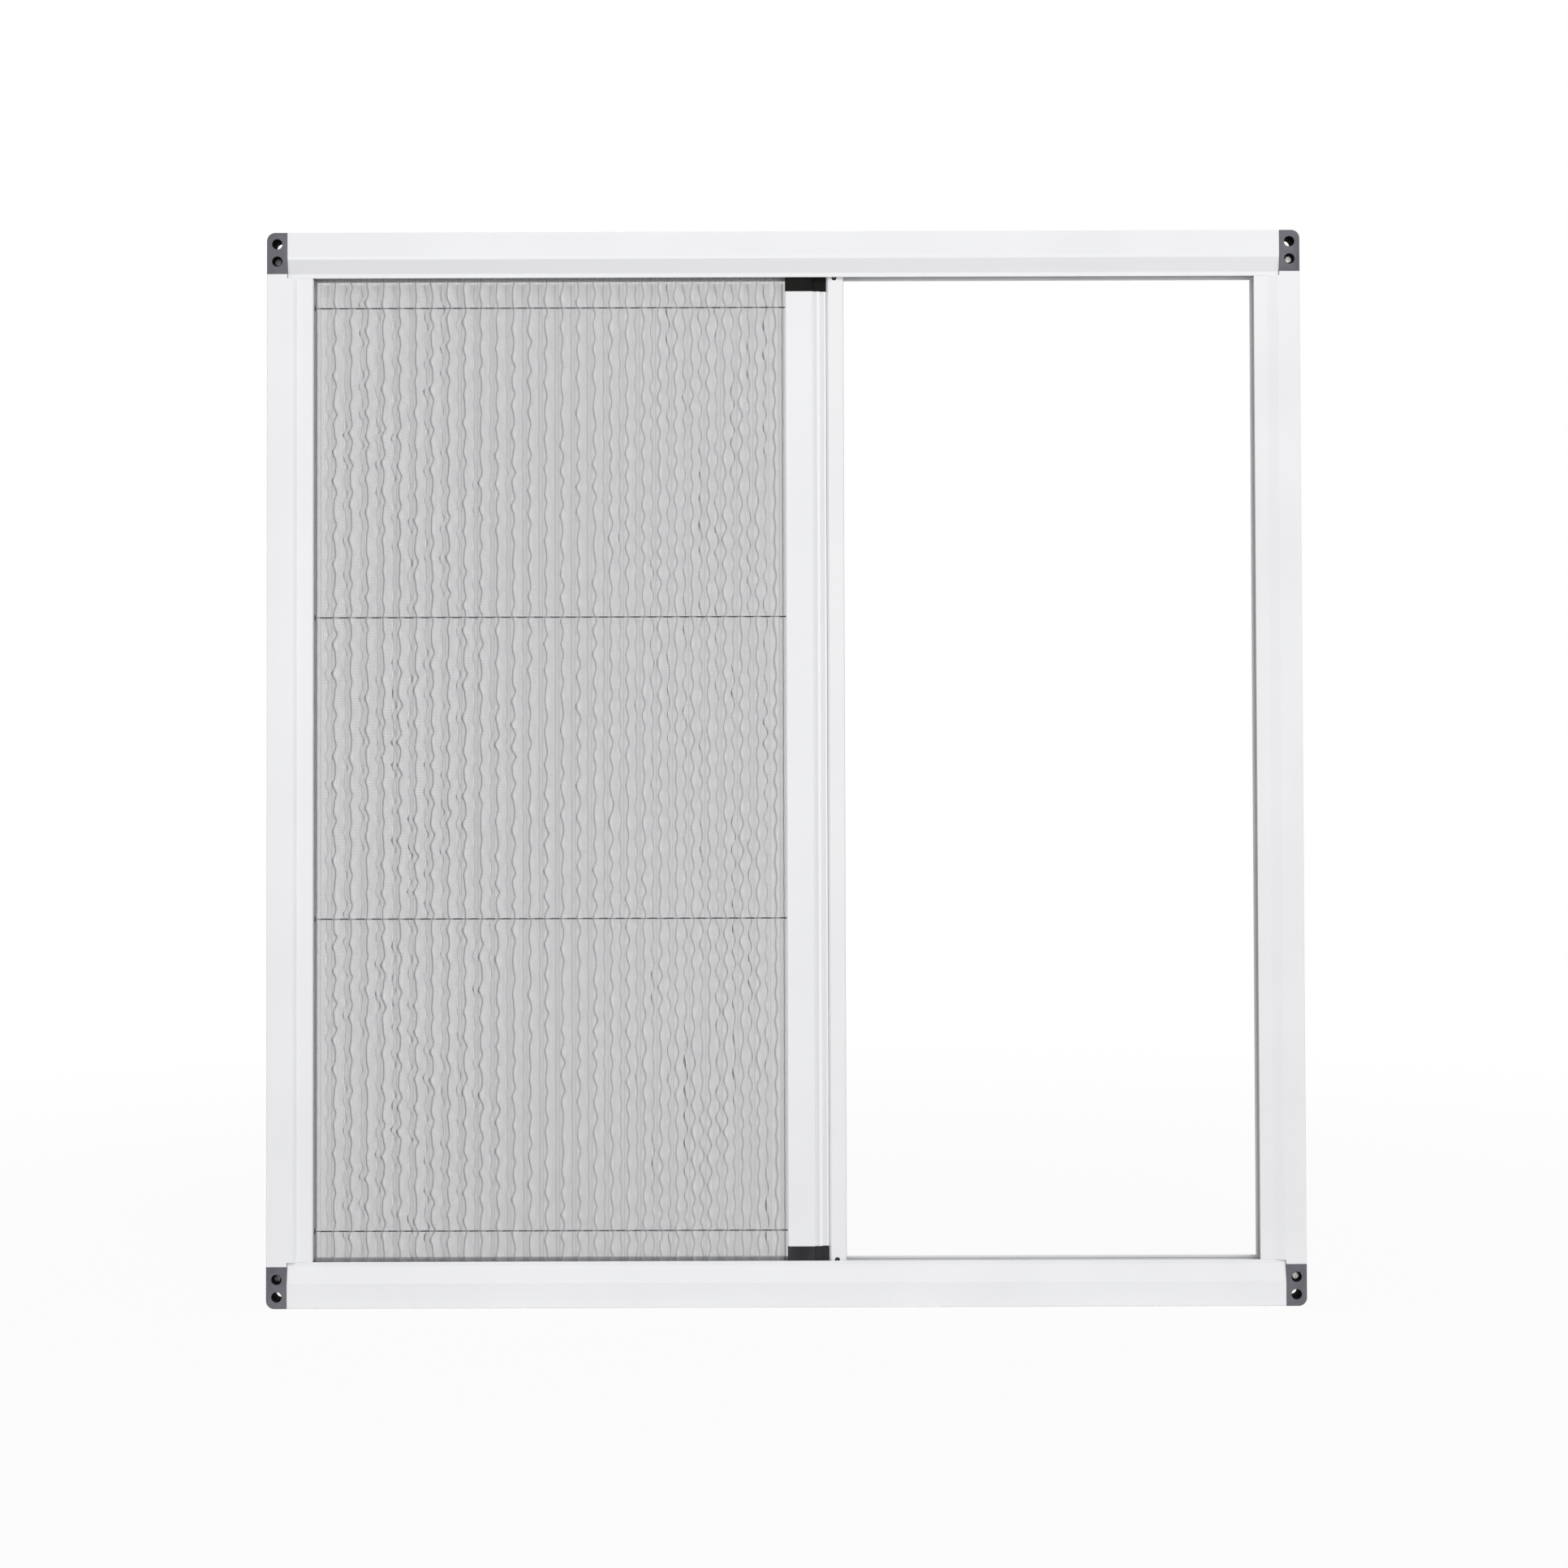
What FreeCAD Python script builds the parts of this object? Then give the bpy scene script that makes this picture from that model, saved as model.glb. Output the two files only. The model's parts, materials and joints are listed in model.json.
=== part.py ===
"""Pleated insect screen in a window frame, with a bar that slides across the opening.

Millimetres, X across, Y from front (-) to back (+), Z up. The origin is the middle of the frame.
The cords tie the bar to both sides, so it stays upright as it slides.
"""

import FreeCAD, Part
import math
import os
from types import SimpleNamespace

import Sketcher

SIZES = {
    # Frame
    "frame_width": 850.0,
    "frame_height": 882.0,
    "frame_depth": 24.0,
    "rail_face": 37.4,
    "rail_wall": 1.3,
    "chamber_depth": 14.7,
    "face_drop": 2.5,
    "edge_round": 0.8,
    "bead_height": 0.8,
    "bead_width": 2.0,
    "rail_flat": 20.3,
    "rail_slope": 14.1,
    "left_flat": 22.0,
    "left_slope": 2.5,
    "right_flat": 18.0,
    "right_slope": 8.5,
    # Corner connectors and their screws
    "corner_width": 16.8,
    "corner_height": 34.0,
    "corner_round": 6.8,
    "leg_length": 42.0,
    "leg_taper": 1.0,
    "leg_lead": 4.0,
    "fit_gap": 0.2,
    "fixing_hole": 8.6,
    "fixing_inset": 9.4,
    "hole_spacing": 14.3,
    "counterbore_depth": 8.0,
    "screw_shank": 4.0,
    "screw_head": 7.4,
    "screw_head_height": 2.6,
    "screw_length": 11.0,
    # Sliding bar
    "bar_left": 1.5,
    "bar_front": 7.6,
    "bar_wall": 1.3,
    "bar_face": 22.6,
    "bar_width": 33.5,
    "groove_depth": 2.8,
    "ledge_depth": 1.2,
    "ledge_width": 5.4,
    "mesh_seat": 6.0,
    "mesh_seat_lip": 2.8,
    "bar_end_cut": 11.4,
    "tongue_width": 3.0,
    "tongue_head": 5.0,
    "tongue_reach": 3.0,
    "tongue_centre": 3.5,
    "tongue_gap": 0.2,
    # Nose of the bar
    "nose_width": 14.5,
    "nose_front": 7.0,
    "nose_slant": 1.6,
    "nose_round": 1.5,
    "magnet_width": 10.0,
    "magnet_thickness": 1.5,
    "jamb_magnet_thickness": 3.0,
    "nose_plug_length": 22.0,
    "nose_screw": 4.0,
    "nose_screw_shank": 2.2,
    "nose_screw_length": 7.0,
    "nose_screw_inset": 13.8,
    # End caps of the bar
    "running_gap": 0.3,
    "cap_plug_length": 8.0,
    "cap_shoulder": 0.3,
    "cap_guide_start": 1.2,
    # Pleated mesh
    "pleat_count": 29,
    "pleat_depth": 14.0,
    "mesh_thickness": 1.2,
    "mesh_rail_gap": 4.0,
    "mesh_end_gap": 0.3,
    "holder_proud": 0.3,
    "holder_wall": 1.2,
    # Cords
    "cord_diameter": 1.0,
    "cord_inset": 23.4,
    "cord_spacing": 256.0,
    "cord_turn": 4.0,
    "riser_inset": 5.2,
    "riser_spacing": 4.5,
    "return_inset": 3.0,
    "return_spacing": 2.6,
    "cord_slot": 2.4,
    "plug_width": 4.4,
    "plug_length": 6.0,
    "anchor_length": 10.0,
    "anchor_cover": 1.6,
    "anchor_width": 12.0,
}

X_AXIS, Y_AXIS, Z_AXIS = (FreeCAD.Vector(1, 0, 0), FreeCAD.Vector(0, 1, 0), FreeCAD.Vector(0, 0, 1))


class Length:
    """A size with its value and the expression that works it out from the sheet."""

    def __init__(self, value, text):
        self.value = value
        self.text = text

    def _join(self, other, sign, value):
        return Length(value, f"({self.text} {sign} {as_length(other).text})")

    def __add__(self, other):
        return self._join(other, "+", self.value + as_length(other).value)

    def __sub__(self, other):
        return self._join(other, "-", self.value - as_length(other).value)

    def __mul__(self, other):
        return self._join(other, "*", self.value * as_length(other).value)

    def __truediv__(self, other):
        return self._join(other, "/", self.value / as_length(other).value)

    def __neg__(self):
        return as_length(0) - self


def as_length(size):
    """Takes a Length or a plain number and gives a Length."""
    return size if isinstance(size, Length) else Length(float(size), f"{float(size):g}")


def make_sheet(doc):
    """Puts the driving sizes in the document's sheet and gives them back by name."""
    sheet = doc.addObject("Spreadsheet::Sheet", "Sizes")
    for row, (name, value) in enumerate(SIZES.items(), 1):
        sheet.set(f"A{row}", name)
        sheet.set(f"B{row}", str(value))
        sheet.setAlias(f"B{row}", name)
    doc.recompute()
    return SimpleNamespace(**{name: Length(value, f"Sizes.{name}") for name, value in SIZES.items()})


def make_body(doc, label):
    """Starts a sub-part."""
    body = doc.addObject("PartDesign::Body", label)
    body.Label = label
    return body


def put(thing, x=0, y=0, z=0, turn=None, angle=0):
    """Places a sub-part, turned about an axis, with its place bound to the sheet."""
    if turn is not None:
        thing.Placement = FreeCAD.Placement(FreeCAD.Vector(), FreeCAD.Rotation(turn, angle))
    for name, size in (("x", x), ("y", y), ("z", z)):
        thing.setExpression(f"Placement.Base.{name}", as_length(size).text)
    return thing


def new_sketch(body, plane, offset=None):
    """A sketch on one of the body's own planes, moved along the plane's normal by the offset."""
    sketch = body.newObject("Sketcher::SketchObject", f"{body.Name}_sketch")
    origin_plane = next(feature for feature in body.Origin.OriginFeatures if feature.Role == plane)
    sketch.AttachmentSupport = [(origin_plane, "")]
    sketch.MapMode = "FlatFace"
    if offset is not None:
        sketch.setExpression("AttachmentOffset.Base.z", as_length(offset).text)
    return sketch


def bind(sketch, kind, *places, size):
    """Adds a constraint and ties its value to the sheet."""
    index = sketch.addConstraint(Sketcher.Constraint(kind, *places, size.value))
    if "Sizes." in size.text:
        sketch.setExpression(f"Constraints[{index}]", size.text)


def pin(sketch, item, end, point):
    """Fixes one end of a line or an arc at a point given by two sizes."""
    bind(sketch, "DistanceX", -1, 1, item, end, size=point[0])
    bind(sketch, "DistanceY", -1, 1, item, end, size=point[1])


def vector(point):
    """The point's present place in its sketch."""
    return FreeCAD.Vector(point[0].value, point[1].value, 0)


def stepped(corner, target, distance):
    """The point that lies a distance from a corner towards a target level with it or plumb with it."""
    along = [target[k].value - corner[k].value for k in (0, 1)]
    k = 0 if abs(along[0]) > abs(along[1]) else 1
    moved = list(corner)
    moved[k] = corner[k] + distance if along[k] > 0 else corner[k] - distance
    return moved


def draw_outline(sketch, corners, closed=True):
    """Draws lines through corners: (x, y), or (x, y, radius) where two square sides meet."""
    points = [(as_length(c[0]), as_length(c[1])) for c in corners]
    radii = [as_length(c[2]) if len(c) > 2 else None for c in corners]
    count = len(points)
    arrive, leave = [], []
    for i, radius in enumerate(radii):
        before, here, after = points[i - 1], points[i], points[(i + 1) % count]
        arrive.append(here if radius is None else stepped(here, before, radius))
        leave.append(here if radius is None else stepped(here, after, radius))
    lines = []
    for i in range(count if closed else count - 1):
        following = (i + 1) % count
        line = sketch.addGeometry(Part.LineSegment(vector(leave[i]), vector(arrive[following])))
        pin(sketch, line, 1, leave[i])
        if radii[following] is not None or (not closed and following == count - 1):
            pin(sketch, line, 2, arrive[following])
        lines.append(line)
    for i in range(0 if closed else 1, len(lines)):
        if radii[i] is None:
            sketch.addConstraint(Sketcher.Constraint("Coincident", lines[i - 1], 2, lines[i], 1))
        else:
            round_corner(sketch, lines[i - 1], lines[i], arrive[i], leave[i], points[i], radii[i])


def round_corner(sketch, line_in, line_out, arrive, leave, corner, radius):
    """Joins two square sides with an arc of the given radius."""
    start, end, apex = vector(arrive), vector(leave), vector(corner)
    centre = start + end - apex
    middle = centre + (apex - centre).normalize() * radius.value
    arc = sketch.addGeometry(Part.Arc(start, middle, end))
    anticlockwise = (apex - start).cross(end - apex).z > 0
    first, last = (1, 2) if anticlockwise else (2, 1)
    sketch.addConstraint(Sketcher.Constraint("Coincident", line_in, 2, arc, first))
    sketch.addConstraint(Sketcher.Constraint("Coincident", line_out, 1, arc, last))
    bind(sketch, "Radius", arc, size=radius)


def draw_box(sketch, low, high):
    """Draws a rectangle between two opposite corners."""
    draw_outline(sketch, [low, (high[0], low[1]), high, (low[0], high[1])])


def draw_circle(sketch, centre, diameter):
    """Draws a circle."""
    point = (as_length(centre[0]), as_length(centre[1]))
    size = as_length(diameter)
    circle = sketch.addGeometry(Part.Circle(vector(point), Z_AXIS, size.value / 2))
    pin(sketch, circle, 3, point)
    bind(sketch, "Diameter", circle, size=size)


def pad(body, sketch, length, both_ways=False, backwards=False):
    """Pulls a sketch into a solid."""
    feature = body.newObject("PartDesign::Pad", f"{body.Name}_pad")
    feature.Profile = sketch
    feature.SideType = "Symmetric" if both_ways else "One side"
    feature.Reversed = backwards
    feature.setExpression("Length", as_length(length).text)
    return feature


def pocket(body, sketch, depth=None, both_ways=False, backwards=False):
    """Cuts a sketch into the body, right through where no depth is given."""
    feature = body.newObject("PartDesign::Pocket", f"{body.Name}_pocket")
    feature.Profile = sketch
    feature.SideType = "Symmetric" if both_ways else "One side"
    feature.Reversed = backwards
    if depth is None:
        feature.Type = "ThroughAll"
    else:
        feature.setExpression("Length", as_length(depth).text)
    return feature


def mirrored(doc, source, label):
    """The bottom piece that is the top piece seen in a level mirror."""
    copy = doc.addObject("Part::Mirroring", label)
    copy.Label = label
    copy.Source = source
    copy.Normal = Z_AXIS
    return copy


def rail_section(s, flat, slope):
    """The frame's section as (distance in from the outer edge, depth), and its closed chamber.

    The front face is flat, then drops to a lower strip along the opening. The channel between
    the front and back walls is open towards the opening.
    """
    front, back = -s.frame_depth / 2, s.frame_depth / 2
    wall, low_front = s.rail_wall, front + s.face_drop
    floor = s.chamber_depth + wall
    outer = [
        (0, front, s.edge_round),
        (flat, front),
        (flat + slope, low_front),
        (s.rail_face, low_front),
        (s.rail_face, low_front + wall),
        (flat + slope, low_front + wall),
        (flat, front + wall),
        (floor, front + wall),
        (floor, back - wall),
        (s.rail_face - s.bead_width, back - wall),
        (s.rail_face - s.bead_width, back - wall - s.bead_height),
        (s.rail_face, back - wall - s.bead_height),
        (s.rail_face, back),
        (0, back, s.edge_round),
    ]
    chamber = [
        (wall, front + wall),
        (s.chamber_depth, front + wall),
        (s.chamber_depth, back - wall),
        (wall, back - wall),
    ]
    return outer, chamber


def level(points):
    """Turns a section from (inward, depth) to the axes of a level rail's sketch."""
    return [(as_length(p[1]), -as_length(p[0]), *p[2:]) for p in points]


def make_rails(doc, s):
    """The top and bottom rails, which run between the corner connectors."""
    outer, chamber = rail_section(s, s.rail_flat, s.rail_slope)
    rails = []
    for label, height, angle in (
        ("top_rail", s.frame_height / 2, 0),
        ("bottom_rail", -s.frame_height / 2, 180),
    ):
        body = make_body(doc, label)
        sketch = new_sketch(body, "YZ_Plane")
        draw_outline(sketch, level(outer))
        draw_outline(sketch, level(chamber))
        pad(body, sketch, s.frame_width - s.corner_width * 2, both_ways=True)
        rails.append(put(body, z=height, turn=Y_AXIS, angle=angle))
    return rails


def make_jambs(doc, s):
    """The two upright sides. Their inner part is cut shorter, to clear the rails' lips."""
    jambs = []
    for label, side, angle, flat, slope in (
        ("left_jamb", -s.frame_width / 2, 0, s.left_flat, s.left_slope),
        ("right_jamb", s.frame_width / 2, 180, s.right_flat, s.right_slope),
    ):
        outer, chamber = rail_section(s, flat, slope)
        body = make_body(doc, label)
        sketch = new_sketch(body, "XY_Plane")
        draw_outline(sketch, outer)
        draw_outline(sketch, chamber)
        length = s.frame_height - s.corner_height * 2
        pad(body, sketch, length, both_ways=True)
        notch = new_sketch(body, "XZ_Plane")
        lip = s.frame_height / 2 - s.rail_face
        for low, high in ((lip, length / 2 + 1), (-length / 2 - 1, -lip)):
            draw_box(notch, (s.corner_width, low), (s.rail_face + 1, high))
        pocket(body, notch, s.frame_depth + 2, both_ways=True)
        jambs.append(put(body, x=side, turn=Y_AXIS, angle=angle))
    return jambs


def make_corners(doc, s):
    """One moulding serves all four corners: a block with two legs that plug into the rails.

    Each block has an outer hole for a fixing screw and an inner square hole, with a round seat at
    both sides, that holds an assembly screw.
    """
    half_x, half_z = s.frame_width / 2, s.frame_height / 2
    inside = s.rail_wall + s.fit_gap
    corners = []
    for label, turn, x, z in (
        ("corner_top_left", None, -half_x, half_z),
        ("corner_top_right", Z_AXIS, half_x, half_z),
        ("corner_bottom_left", X_AXIS, -half_x, -half_z),
        ("corner_bottom_right", Y_AXIS, half_x, -half_z),
    ):
        body = make_body(doc, label)
        block = new_sketch(body, "XZ_Plane")
        width, height = s.corner_width, -s.corner_height
        draw_outline(block, [(0, 0, s.corner_round), (0, height), (width, height), (width, 0)])
        pad(body, block, s.frame_depth, both_ways=True)
        legs = new_sketch(body, "XZ_Plane")
        draw_leg(legs, s, inside, s.corner_width, is_level=True)
        draw_leg(legs, s, inside, s.corner_height, is_level=False)
        pad(body, legs, s.frame_depth - inside * 2, both_ways=True)
        windows = new_sketch(body, "XZ_Plane")
        draw_windows(windows, s, inside, s.corner_width, is_level=True)
        draw_windows(windows, s, inside, s.corner_height, is_level=False)
        pocket(body, windows, s.frame_depth, both_ways=True)
        holes = new_sketch(body, "XZ_Plane")
        draw_circle(holes, (s.corner_width / 2, -s.fixing_inset), s.fixing_hole)
        inner = (s.corner_width / 2, -s.fixing_inset - s.hole_spacing)
        half = s.screw_shank / 2 + s.fit_gap
        draw_box(holes, (inner[0] - half, inner[1] - half), (inner[0] + half, inner[1] + half))
        pocket(body, holes, s.frame_depth * 2, both_ways=True)
        for backwards in (False, True):
            face = s.frame_depth / 2 if backwards else -s.frame_depth / 2
            seat = new_sketch(body, "XZ_Plane", face)
            draw_circle(seat, inner, s.fixing_hole)
            pocket(body, seat, s.counterbore_depth, backwards=not backwards)
        corners.append(put(body, x=x, z=z, turn=turn, angle=180))
    return corners


def leg_point(along, inward, is_level):
    """A point of a leg that runs along its rail, inward from the rail's outer edge."""
    return (along, -inward) if is_level else (inward, -along)


def draw_leg(sketch, s, near, start, is_level):
    """One leg's outline, narrowed at its end so that it finds its way into the chamber."""
    far, end = s.chamber_depth - s.fit_gap, start + s.leg_length
    outline = [
        (start, near),
        (end - s.leg_lead, near),
        (end, near + s.leg_taper),
        (end, far - s.leg_taper),
        (end - s.leg_lead, far),
        (start, far),
    ]
    draw_outline(sketch, [leg_point(along, inward, is_level) for along, inward in outline])


def draw_windows(sketch, s, near, start, is_level):
    """Three windows that leave a leg as a ladder of ribs."""
    rib, far = s.leg_length / 12, s.chamber_depth - s.fit_gap
    pitch = (s.leg_length - rib) / 3
    for count in range(3):
        low = start + rib + pitch * count
        corners = ((low, near + rib), (low + pitch - rib, far - rib))
        draw_box(sketch, *[leg_point(along, inward, is_level) for along, inward in corners])


def make_screw(doc, label, head, height, shank, length):
    """A screw along the depth, with its head to the front and seated at the origin."""
    body = make_body(doc, label)
    half = new_sketch(body, "XY_Plane")
    rim, core = head / 2, shank / 2
    draw_outline(half, [(0, -height), (rim, -height), (rim, 0), (core, 0), (core, length), (0, length)])
    spin = body.newObject("PartDesign::Revolution", f"{label}_turned")
    spin.Profile = half
    spin.ReferenceAxis = (half, ["V_Axis"])
    spin.Angle = 360
    return body


def make_corner_screws(doc, s):
    """The screws sunk in the blocks' inner holes."""
    across = s.frame_width / 2 - s.corner_width / 2
    up = s.frame_height / 2 - s.fixing_inset - s.hole_spacing
    seat = s.counterbore_depth - s.frame_depth / 2
    screws = []
    for name, side, level_sign in (
        ("top_left", -1, 1),
        ("top_right", 1, 1),
        ("bottom_left", -1, -1),
        ("bottom_right", 1, -1),
    ):
        shape = (s.screw_head, s.screw_head_height, s.screw_shank, s.screw_length)
        screw = make_screw(doc, f"corner_screw_{name}", *shape)
        screws.append(put(screw, across * side, seat, up * level_sign))
    return screws


def cord_levels(s):
    """The four cords' heights, from the top."""
    outer = s.frame_height / 2 - s.rail_face - s.cord_inset
    inner = outer - s.cord_spacing
    return [outer, inner, -inner, -outer]


def return_levels(s):
    """The heights of the outer and the inner cord in the top rail's channel."""
    outer = rail_floor(s) - s.return_inset
    return outer, outer - s.return_spacing


def riser_places(s):
    """How far the outer and the inner cord run up inside the bar from its left side."""
    outer = s.mesh_seat + s.bar_wall + s.riser_inset
    return outer, outer + s.riser_spacing


def nose_end(s):
    """Half the nose's length: it enters the rails' channels and stays under the cords."""
    return return_levels(s)[1] - s.cord_slot


def holder_face(s):
    """Where the fixed edge of the mesh is held, across from the frame's middle."""
    return s.rail_face + s.holder_proud - s.frame_width / 2


def make_left_holder(doc, s):
    """The hollow strip that fills the left jamb's channel and holds the mesh's fixed edge."""
    body = make_body(doc, "mesh_holder_left")
    floor = s.chamber_depth + s.rail_wall - s.frame_width / 2
    front = -s.frame_depth / 2 + s.face_drop + s.rail_wall + s.fit_gap
    back = s.frame_depth / 2 - s.rail_wall - s.bead_height - s.fit_gap
    face, wall = holder_face(s), s.holder_wall
    section = new_sketch(body, "XY_Plane")
    draw_box(section, (floor, front), (face, back))
    draw_box(section, (floor + wall, front + wall), (face - wall, back - wall))
    length = s.frame_height - s.rail_face * 2 - s.running_gap * 2
    pad(body, section, length, both_ways=True)
    holes = new_sketch(body, "YZ_Plane", face)
    draw_cord_holes(holes, s, s.plug_width + s.fit_gap)
    pocket(body, holes, wall * 2)
    return body


def make_cord_plugs(doc, s):
    """The square plugs that hold the cords' ends in the left holder."""
    plugs = []
    for number, height in enumerate(cord_levels(s), 1):
        body = make_body(doc, f"cord_plug_{number}")
        stem = new_sketch(body, "YZ_Plane")
        half = s.plug_width / 2
        draw_box(stem, (-half, -half), (half, half))
        pad(body, stem, s.plug_length, backwards=True)
        plugs.append(put(body, x=holder_face(s), z=height))
    return plugs


def make_bar(doc, s):
    """The sliding bar's main extrusion.

    A hollow grip for the cords, a shallow stepped groove beside its face, a seat for the
    mesh on the left and a slot for the nose's tongue on the right. Both ends stop short of the
    rails, where the caps fill in.
    """
    body = make_body(doc, "pull_bar")
    front, back, wall = -s.bar_front, s.bar_front, s.bar_wall
    ledge, floor = front + s.ledge_depth, front + s.groove_depth
    step = s.ledge_width + s.bar_face
    right, inner = s.bar_width, s.bar_width - wall
    slot_low = s.tongue_centre - s.tongue_width / 2 - s.tongue_gap
    slot_high = s.tongue_centre + s.tongue_width / 2 + s.tongue_gap
    section = new_sketch(body, "XY_Plane")
    draw_outline(
        section,
        [
            (0, front, s.edge_round),
            (s.bar_face, front, s.edge_round),
            (s.bar_face, ledge),
            (step, ledge),
            (step + 1, floor),
            (right, floor),
            (right, slot_low),
            (inner, slot_low),
            (inner, floor + wall),
            (step, floor + wall),
            (step - 1, ledge + wall),
            (s.bar_face, ledge + wall),
            (s.bar_face, back - wall),
            (inner, back - wall),
            (inner, slot_high),
            (right, slot_high),
            (right, back),
            (0, back),
            (0, back - s.mesh_seat_lip),
            (wall, back - s.mesh_seat_lip),
            (wall, back - wall),
            (s.mesh_seat, back - wall),
            (s.mesh_seat, front + wall),
            (wall, front + wall),
            (wall, front + s.mesh_seat_lip),
            (0, front + s.mesh_seat_lip),
        ],
    )
    draw_box(section, (s.mesh_seat + wall, front + wall), (s.bar_face - wall, back - wall))
    pad(body, section, bar_end(s) * 2, both_ways=True)
    holes = new_sketch(body, "YZ_Plane", s.mesh_seat + wall)
    draw_cord_holes(holes, s, s.cord_slot)
    pocket(body, holes, wall * 2)
    return put(body, x=s.bar_left)


def draw_cord_holes(sketch, s, width):
    """Draws the punched square holes that the cords pass through."""
    half = width / 2
    for height in cord_levels(s):
        draw_box(sketch, (-half, height - half), (half, height + half))


def bar_end(s):
    """Half the main extrusion's length."""
    return s.frame_height / 2 - s.rail_face - s.bar_end_cut


def rail_floor(s):
    """The height of the channel's floor in the top rail."""
    return s.frame_height / 2 - s.chamber_depth - s.rail_wall


def make_nose(doc, s):
    """The bar's nose: a longer extrusion that hooks on the bar and enters the right jamb."""
    body = make_body(doc, "bar_nose")
    left, right, wall = s.bar_width + s.running_gap, s.bar_width + s.nose_width, s.bar_wall
    front, back, floor = -s.nose_front, s.nose_front, s.groove_depth - s.bar_front
    slant, seat = left + s.nose_slant, right - s.magnet_thickness - s.fit_gap
    magnet = s.magnet_width / 2 + s.fit_gap
    neck_low, neck_high = s.tongue_centre - s.tongue_width / 2, s.tongue_centre + s.tongue_width / 2
    head_low, head_high = s.tongue_centre - s.tongue_head / 2, s.tongue_centre + s.tongue_head / 2
    neck = s.bar_width - wall - s.tongue_gap
    tip = left - s.tongue_reach
    section = new_sketch(body, "XY_Plane")
    draw_outline(
        section,
        [
            (left, floor),
            (slant, front),
            (right, front, s.nose_round),
            (right, -magnet),
            (seat, -magnet),
            (seat, magnet),
            (right, magnet),
            (right, back, s.nose_round),
            (left, back),
            (left, neck_high),
            (neck, neck_high),
            (neck, head_high),
            (tip, head_high),
            (tip, head_low),
            (neck, head_low),
            (neck, neck_low),
            (left, neck_low),
        ],
    )
    hollow = [
        (left + wall, floor + wall / 2),
        (slant + wall / 2, front + wall),
        (seat - wall, front + wall),
        (seat - wall, back - wall),
        (left + wall, back - wall),
    ]
    draw_outline(section, hollow)
    half = nose_end(s)
    pad(body, section, half * 2, both_ways=True)
    holes = new_sketch(body, "XZ_Plane", -front)
    inset = half - s.nose_screw_inset
    for height in (inset, -inset):
        draw_circle(holes, (nose_middle(s), height), s.nose_screw + s.fit_gap)
    pocket(body, holes, wall * 2)
    return put(body, x=s.bar_left)


def nose_middle(s):
    """The middle of the nose's hollow, from the bar's left side."""
    left = s.bar_width + s.running_gap + s.nose_slant
    return (left + s.bar_width + s.nose_width - s.magnet_thickness - s.bar_wall) / 2


def make_nose_plugs(doc, s):
    """The plugs in the nose's ends and the screws that hold them, from the front."""
    left, right, wall = s.bar_width + s.running_gap, s.bar_width + s.nose_width, s.bar_wall
    inside = wall + s.fit_gap
    low = left + s.nose_slant + wall
    high = right - s.magnet_thickness - s.fit_gap - inside
    end = nose_end(s)
    pieces = []
    for name, sign in (("top", 1), ("bottom", -1)):
        plug = make_body(doc, f"nose_plug_{name}")
        section = new_sketch(plug, "XY_Plane")
        draw_box(section, (low, -s.nose_front + inside), (high, s.nose_front - inside))
        pad(plug, section, s.nose_plug_length, backwards=sign > 0)
        bore = new_sketch(plug, "XZ_Plane", s.nose_front - inside)
        middle, level, half = nose_middle(s), -s.nose_screw_inset * sign, s.nose_screw_shank / 2 + s.fit_gap
        draw_box(bore, (middle - half, level - half), (middle + half, level + half))
        pocket(plug, bore, s.nose_screw_length + wall)
        pieces.append(put(plug, x=s.bar_left, z=end * sign))
        shape = (s.nose_screw, wall, s.nose_screw_shank, s.nose_screw_length)
        screw = make_screw(doc, f"nose_screw_{name}", *shape)
        height = (end - s.nose_screw_inset) * sign
        pieces.append(put(screw, s.bar_left + nose_middle(s), wall - s.nose_front, height))
    return pieces


def make_magnets(doc, s):
    """The magnet strips in the nose's tip and on the floor of the right jamb's channel."""
    bar_strip = make_body(doc, "bar_magnet_strip")
    section = new_sketch(bar_strip, "XY_Plane")
    tip = s.bar_left + s.bar_width + s.nose_width - s.fit_gap
    half = s.magnet_width / 2
    draw_box(section, (tip - s.magnet_thickness, -half), (tip, half))
    pad(bar_strip, section, nose_end(s) * 2 - s.bead_width, both_ways=True)
    jamb_strip = make_body(doc, "jamb_magnet_strip")
    section = new_sketch(jamb_strip, "XY_Plane")
    floor = s.frame_width / 2 - s.chamber_depth - s.rail_wall
    draw_box(section, (floor - s.jamb_magnet_thickness, -half), (floor, half))
    pad(jamb_strip, section, s.frame_height - s.rail_face * 2 - s.bar_end_cut, both_ways=True)
    return [bar_strip, jamb_strip]


def make_bar_holder(doc, s):
    """The strip in the bar's seat that holds the mesh's moving edge, drilled for the cords."""
    body = make_body(doc, "mesh_holder_bar")
    gap, wall = s.fit_gap, s.bar_wall
    neck = s.bar_front - s.mesh_seat_lip - gap
    base = s.bar_front - wall - gap
    section = new_sketch(body, "XY_Plane")
    outline = [(-s.holder_proud, -neck), (wall + gap, -neck), (wall + gap, -base)]
    outline += [(s.mesh_seat - gap, -base), (s.mesh_seat - gap, base), (wall + gap, base)]
    outline += [(wall + gap, neck), (-s.holder_proud, neck)]
    draw_outline(section, outline)
    pad(body, section, bar_end(s) * 2, both_ways=True)
    holes = new_sketch(body, "YZ_Plane")
    draw_cord_holes(holes, s, s.cord_slot)
    pocket(body, holes, s.mesh_seat * 4, both_ways=True)
    return put(body, x=s.bar_left)


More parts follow.
